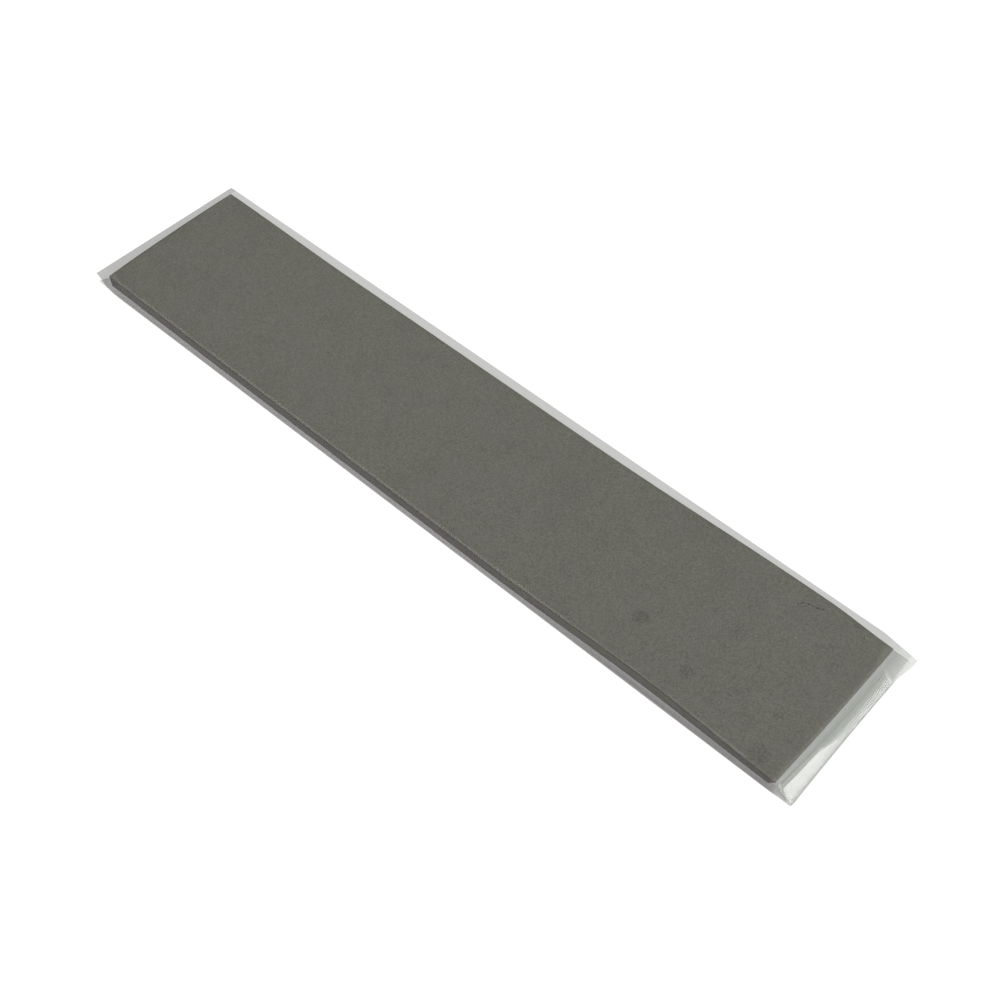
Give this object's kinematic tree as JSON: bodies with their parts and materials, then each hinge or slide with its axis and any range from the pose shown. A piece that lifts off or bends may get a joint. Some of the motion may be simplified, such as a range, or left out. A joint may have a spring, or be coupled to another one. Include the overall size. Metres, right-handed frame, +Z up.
{
  "type": "thermal pad sheet",
  "caption": "Soft grey thermal gap-filler strip lying flat between two thin clear release liners whose margins stand out past its edges.",
  "frame": {"origin": "on the underside of the bottom liner, at the middle of the whole outline", "axes": "+X along the strip, +Z up out of the pad's top face, +Y across the strip"},
  "size_m": [0.1039, 0.0217, 0.0017],
  "materials": {
    "pad_silicone": "soft ceramic-filled silicone, matte to satin, warm grey",
    "liner_film": "thin clear polyester film, glossy, faintly hazy"
  },
  "bodies": {
    "root": {"bottom_liner": "liner_film", "thermal_pad": "pad_silicone", "top_liner": "liner_film"}
  },
  "joints": []
}
